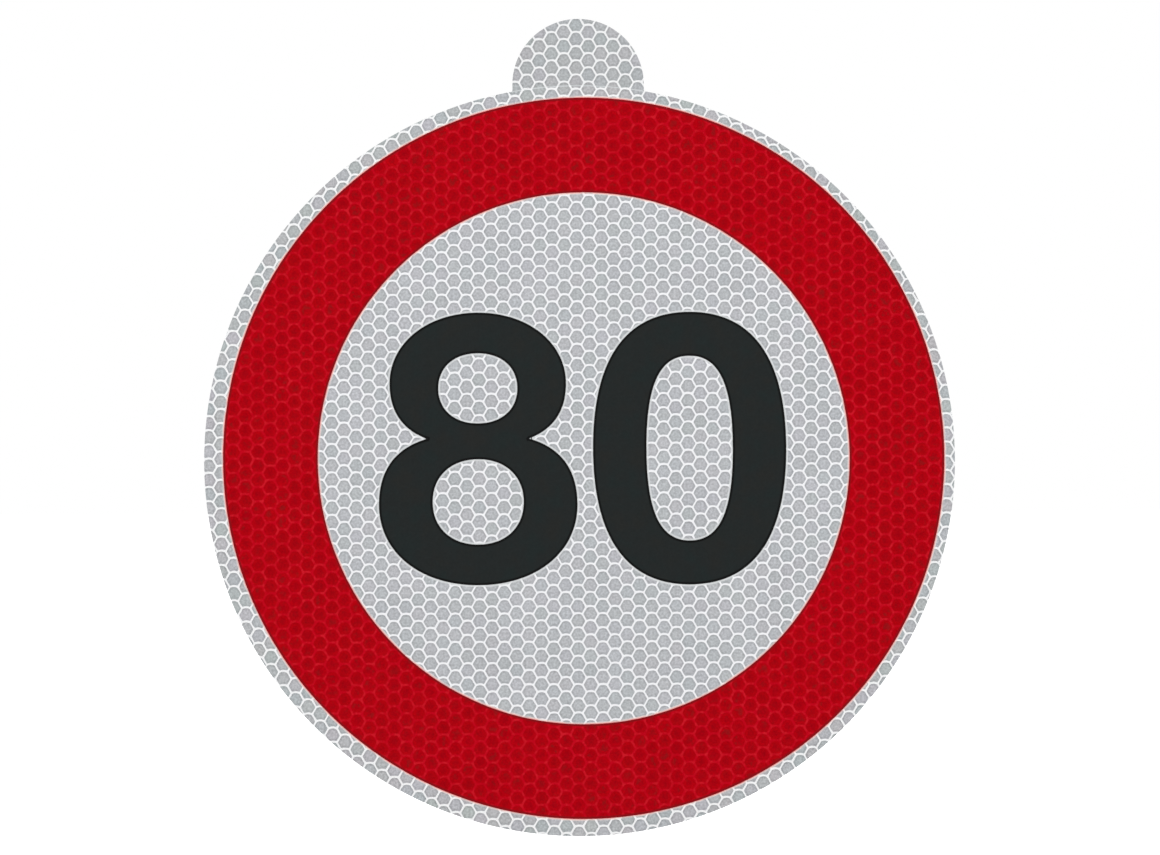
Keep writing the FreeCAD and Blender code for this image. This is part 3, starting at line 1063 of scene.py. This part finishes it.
plate = {
    "tone": (207, 209, 212),
    "darkTone": (192, 195, 198),
    "toneRange": (0.35, 0.65),
    "edgeTone": (180, 183, 186),
    "sideRange": (0.5, 0.9),         # sheared edges, by how far the surface faces the back
    "mottleShades": (0.95, 1.03),
    "lineSize": 0.12,                # across one rolling line
    "fineLines": (1.0, 0.006),       # scales across and along the lines
    "broadLines": (0.05, 0.0012),
    "broadShare": 0.6,
    "fineDetail": 3.0,
    "fineRoughness": 0.6,
    "scratches": 0.5,
    "scratchWays": ((0.35, 0.006), (-0.9, 0.005), (1.35, 0.004)),   # turn in radians, width
    "scratchScale": (210, 210, 9),   # per m
    "gapScale": 60,                  # where the scratches break off
    "gapRange": (0.55, 0.68),
    "scratchGain": 1.12,
    "scratchPolish": 0.1,
    "speckRise": 0.15,
    "speckSize": 0.4,
    "mottleSize": 38.0,
    "roughness": 0.36,
    "lineRoughness": 0.07,
    "mottleRange": (0.35, 0.7),
    "mottleRoughness": (-0.03, 0.07),
    "edgeRoughness": 0.14,
    "specular": 0.5,
    "metallic": 1.0,
    "bumpStrength": 0.25,
    "bumpHeight": 0.03,
}


# Thin broken streaks in a few directions
def makeScratches(tree, point):
    scratches = 0.0
    for turn, width in plate["scratchWays"]:
        streak = noise(tree, stretched(tree, point, plate["scratchScale"], (0, turn, 0)), 1.0, detail=1.0)
        thin = ramp(tree, calc(tree, "ABSOLUTE", calc(tree, "SUBTRACT", streak, 0.5)), 0.0, width, 1.0, 0.0)
        gaps = noise(tree, stretched(tree, point, (plate["gapScale"],) * 3, (0, turn, 0)), 1.0)
        thin = product(tree, thin, ramp(tree, gaps, *plate["gapRange"]))
        scratches = calc(tree, "MAXIMUM", scratches, thin)
    return product(tree, scratches, plate["scratches"])


def makePlateMaterial():
    material, tree, shader, point = newMaterial("mill finish aluminium")
    grains = placeGrain(tree, point, plate)
    line = 1 / (plate["lineSize"] * mm)
    fine, broad = [stretched(tree, point, [line * share for share in (across, across, along)])
                   for across, along in (plate["fineLines"], plate["broadLines"])]
    fine = noise(tree, fine, 1.0, plate["fineDetail"], plate["fineRoughness"])
    broad = noise(tree, broad, 1.0)
    lines = calc(tree, "MULTIPLY_ADD", broad, plate["broadShare"],
                 product(tree, fine, 1 - plate["broadShare"]))
    scratches = makeScratches(tree, point)
    edge = sideShare(tree, "Normal", *plate["sideRange"])

    colour = toned(tree, ramp(tree, lines, *plate["toneRange"]), linearTone(plate["darkTone"]), plate["tone"])
    colour = toned(tree, edge, colour, plate["edgeTone"])
    colour = shade(tree, colour, product(tree, varied(tree, grains["Mottle"], *plate["mottleShades"]),
                                         between(tree, scratches, 1.0, plate["scratchGain"])))
    roughness = around(tree, lines, plate["roughness"], plate["lineRoughness"])
    mottle = ramp(tree, grains["Mottle"], *plate["mottleRange"], *plate["mottleRoughness"], smooth=False)
    roughness = calc(tree, "ADD", roughness, mottle)
    roughness = calc(tree, "ADD", roughness, product(tree, edge, plate["edgeRoughness"]))
    roughness = calc(tree, "SUBTRACT", roughness, product(tree, scratches, plate["scratchPolish"]))
    height = calc(tree, "MULTIPLY_ADD", grains["Speck"], plate["speckRise"], lines)
    shader.inputs["Metallic"].default_value = plate["metallic"]
    finishMaterial(tree, shader, colour, roughness, calc(tree, "SUBTRACT", height, scratches), plate)
    return material


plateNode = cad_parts["backing_plate"]
plateNode.data.materials.clear()
plateNode.data.materials.append(makePlateMaterial())
print("plate finished")


# Studio: pale floor, soft lamps, white surroundings

studio = {
    "floorHeight": -0.15,
    "floorReach": 12.0,
    "floorTone": (236, 236, 235),
    "floorRoughness": 0.9,
    "whiteFrom": 0.42,               # m from the sign where the floor starts to fade to white
    "whiteTo": 0.72,
    "nearGlow": 0.12,                # of the floor nearer than that
    "ambient": 0.5,
    "lamps": [                       # place, size and power
        ((-1.0, -2.2, 1.2), 1.4, 23.2),
        ((1.1, -1.6, 0.9), 1.2, 6.4),
        ((0.5, 1.9, 1.6), 1.4, 14.5),
    ],
}


# 1 for what the camera sees, also in a reflection or through something
def seenShare(tree, path):
    return calc(tree, "MAXIMUM", path["Is Camera Ray"],
                calc(tree, "MAXIMUM", path["Is Glossy Ray"], path["Is Transmission Ray"]))


def makeFloor():
    reach = studio["floorReach"]
    height = studio["floorHeight"]
    mesh = bpy.data.meshes.new("floor")
    mesh.from_pydata([(-reach, -reach, height), (reach, -reach, height), (reach, reach, height),
                      (-reach, reach, height)], [], [(0, 1, 2, 3)])
    material, tree, shader, point = newMaterial("pale floor")
    shader.inputs["Base Color"].default_value = linearTone(studio["floorTone"])
    shader.inputs["Roughness"].default_value = studio["floorRoughness"]
    shader.inputs["Specular IOR Level"].default_value = 0.0
    path = tree.nodes.new("ShaderNodeLightPath").outputs
    far = ramp(tree, lengthOf(tree, point), studio["whiteFrom"], studio["whiteTo"], studio["nearGlow"], 1.0)
    shader.inputs["Emission Color"].default_value = (1, 1, 1, 1)
    feed(tree, shader.inputs["Emission Strength"], product(tree, seenShare(tree, path), far))

    # From below, the camera looks through the floor
    below = tree.nodes.new("ShaderNodeBsdfTransparent")
    choice = tree.nodes.new("ShaderNodeMixShader")
    behind = tree.nodes.new("ShaderNodeNewGeometry").outputs["Backfacing"]
    feed(tree, choice.inputs[0], product(tree, behind, path["Is Camera Ray"]))
    feed(tree, choice.inputs[1], shader.outputs[0])
    feed(tree, choice.inputs[2], below.outputs[0])
    feed(tree, tree.nodes["Material Output"].inputs["Surface"], choice.outputs[0])
    arrange(tree)
    mesh.materials.append(material)
    floor = bpy.data.objects.new("floor", mesh)
    scene.collection.objects.link(floor)


def makeLamps():
    for number, (place, size, power) in enumerate(studio["lamps"]):
        data = bpy.data.lights.new("lamp%d" % number, "AREA")
        data.size = size
        data.energy = power
        lamp = bpy.data.objects.new("lamp%d" % number, data)
        lamp.location = place
        lamp.rotation_euler = (-Vector(place)).to_track_quat("-Z", "Y").to_euler()
        lamp.visible_camera = False
        scene.collection.objects.link(lamp)


def makeSurroundings():
    world = bpy.data.worlds.new("white surroundings")
    world.use_nodes = True
    tree = world.node_tree
    background = tree.nodes["Background"]
    background.inputs["Color"].default_value = (1, 1, 1, 1)
    seen = seenShare(tree, tree.nodes.new("ShaderNodeLightPath").outputs)
    feed(tree, background.inputs["Strength"], between(tree, seen, studio["ambient"], 1.0))
    arrange(tree)
    scene.world = world


makeFloor()
makeLamps()
makeSurroundings()
scene.view_settings.view_transform = "Standard"
print("studio set")
